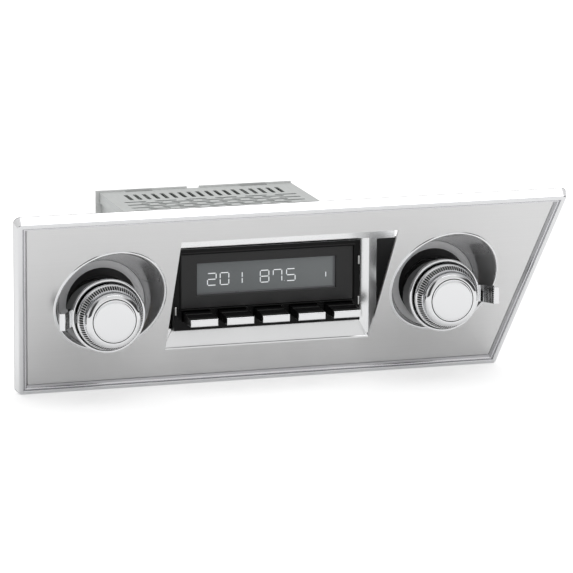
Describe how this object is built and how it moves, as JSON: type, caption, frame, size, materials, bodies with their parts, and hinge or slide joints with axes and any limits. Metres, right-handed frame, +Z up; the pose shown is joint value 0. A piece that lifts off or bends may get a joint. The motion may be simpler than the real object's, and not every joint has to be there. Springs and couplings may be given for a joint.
{
  "type": "car radio",
  "caption": "Shaft-style car radio with display, preset keys and two ringed knobs in dished recesses of a leaning chrome-rimmed dashboard bezel.",
  "frame": {"origin": "middle of the bounding box's base, under the bezel's lowest edge", "axes": "+X to the viewer's right along the bezel, +Y to the rear along the chassis, +Z up; the controls face -Y"},
  "size_m": [0.3074, 0.212, 0.1117],
  "materials": {
    "chrome": "polished plating",
    "satin_aluminium": "fine brushed, satin",
    "galvanised_sheet": "zinc-plated sheet",
    "bright_steel": "bright",
    "black_steel": "black, semi-matt",
    "black_plastic": "moulded, semi-gloss",
    "smoked_lens": "polished, smoked",
    "display_glass": "grey display glass",
    "light_guide": "milky",
    "circuit_board": "green solder mask",
    "keypad_rubber": "moulded",
    "brass": "turned",
    "black_alloy": "black anodised",
    "capacitor_sleeve": "shrunk sleeve"
  },
  "bodies": {
    "radio": {"bezel_frame": "chrome", "left_dish": "chrome", "right_dish": "chrome", "trim_plate": "chrome", "face_plate": "satin_aluminium", "chassis_tray": "galvanised_sheet", "chassis_lid": "galvanised_sheet", "rear_panel": "galvanised_sheet", "left_upper_dish_screw": "bright_steel", "left_lower_dish_screw": "bright_steel", "right_upper_dish_screw": "bright_steel", "right_lower_dish_screw": "bright_steel", "volume_nut": "bright_steel", "tuner_nut": "bright_steel", "tuner_can": "bright_steel", "antenna_socket": "bright_steel", "left_bracket": "black_steel", "right_bracket": "black_steel", "nose_housing": "black_plastic", "volume_control_body": "black_plastic", "tuner_control_body": "black_plastic", "line_out_jacks": "black_plastic", "power_socket": "black_plastic", "amplifier_chip": "black_plastic", "display_lens": "smoked_lens", "lcd_panel": "display_glass", "light_guide": "light_guide", "front_board": "circuit_board", "main_board": "circuit_board", "keypad_strip": "keypad_rubber", "volume_bushing": "brass", "tuner_bushing": "brass", "heat_sink": "black_alloy", "filter_capacitor": "capacitor_sleeve"},
    "preset_1": {"preset_button_1": "black_plastic", "preset_bar_1": "chrome"},
    "preset_2": {"preset_button_2": "black_plastic", "preset_bar_2": "chrome"},
    "preset_3": {"preset_button_3": "black_plastic", "preset_bar_3": "chrome"},
    "preset_4": {"preset_button_4": "black_plastic", "preset_bar_4": "chrome"},
    "preset_5": {"preset_button_5": "black_plastic", "preset_bar_5": "chrome"},
    "volume_plunger": {"volume_push_rod": "bright_steel"},
    "volume_rotor": {"volume_shaft": "bright_steel", "volume_knob": "chrome", "volume_knob_cap": "chrome"},
    "volume_ring": {"volume_sleeve": "bright_steel", "volume_ring_skirt": "black_plastic", "volume_tab_ring": "chrome"},
    "tuner_plunger": {"tuner_push_rod": "bright_steel"},
    "tuner_rotor": {"tuner_shaft": "bright_steel", "tuner_knob": "chrome", "tuner_knob_cap": "chrome"},
    "tuner_ring": {"tuner_sleeve": "bright_steel", "tuner_ring_skirt": "black_plastic", "tuner_tab_ring": "chrome"}
  },
  "joints": [
    {"name": "preset_1_press", "type": "slide", "parent": "radio", "child": "preset_1", "axis": [0, 1, 0], "range_m": [0, 0.0028], "stiffness_N_per_m": 120},
    {"name": "preset_2_press", "type": "slide", "parent": "radio", "child": "preset_2", "axis": [0, 1, 0], "range_m": [0, 0.0028], "stiffness_N_per_m": 120},
    {"name": "preset_3_press", "type": "slide", "parent": "radio", "child": "preset_3", "axis": [0, 1, 0], "range_m": [0, 0.0028], "stiffness_N_per_m": 120},
    {"name": "preset_4_press", "type": "slide", "parent": "radio", "child": "preset_4", "axis": [0, 1, 0], "range_m": [0, 0.0028], "stiffness_N_per_m": 120},
    {"name": "preset_5_press", "type": "slide", "parent": "radio", "child": "preset_5", "axis": [0, 1, 0], "range_m": [0, 0.0028], "stiffness_N_per_m": 120},
    {"name": "volume_push", "type": "slide", "parent": "radio", "child": "volume_plunger", "axis": [0, 1, 0], "range_m": [0, 0.0008], "stiffness_N_per_m": 600},
    {"name": "volume_turn", "type": "hinge", "parent": "volume_plunger", "child": "volume_rotor", "pos_m": [-0.09512, -0.05029, 0.04836], "axis": [0, -1, 0], "continuous": true},
    {"name": "volume_ring_turn", "type": "hinge", "parent": "radio", "child": "volume_ring", "pos_m": [-0.09512, -0.05029, 0.04836], "axis": [0, -1, 0], "range_deg": [-135, 135]},
    {"name": "tuner_push", "type": "slide", "parent": "radio", "child": "tuner_plunger", "axis": [0, 1, 0], "range_m": [0, 0.0008], "stiffness_N_per_m": 600},
    {"name": "tuner_turn", "type": "hinge", "parent": "tuner_plunger", "child": "tuner_rotor", "pos_m": [0.09512, -0.05029, 0.04836], "axis": [0, -1, 0], "continuous": true},
    {"name": "tuner_ring_turn", "type": "hinge", "parent": "radio", "child": "tuner_ring", "pos_m": [0.09512, -0.05029, 0.04836], "axis": [0, -1, 0], "range_deg": [-135, 135]}
  ]
}
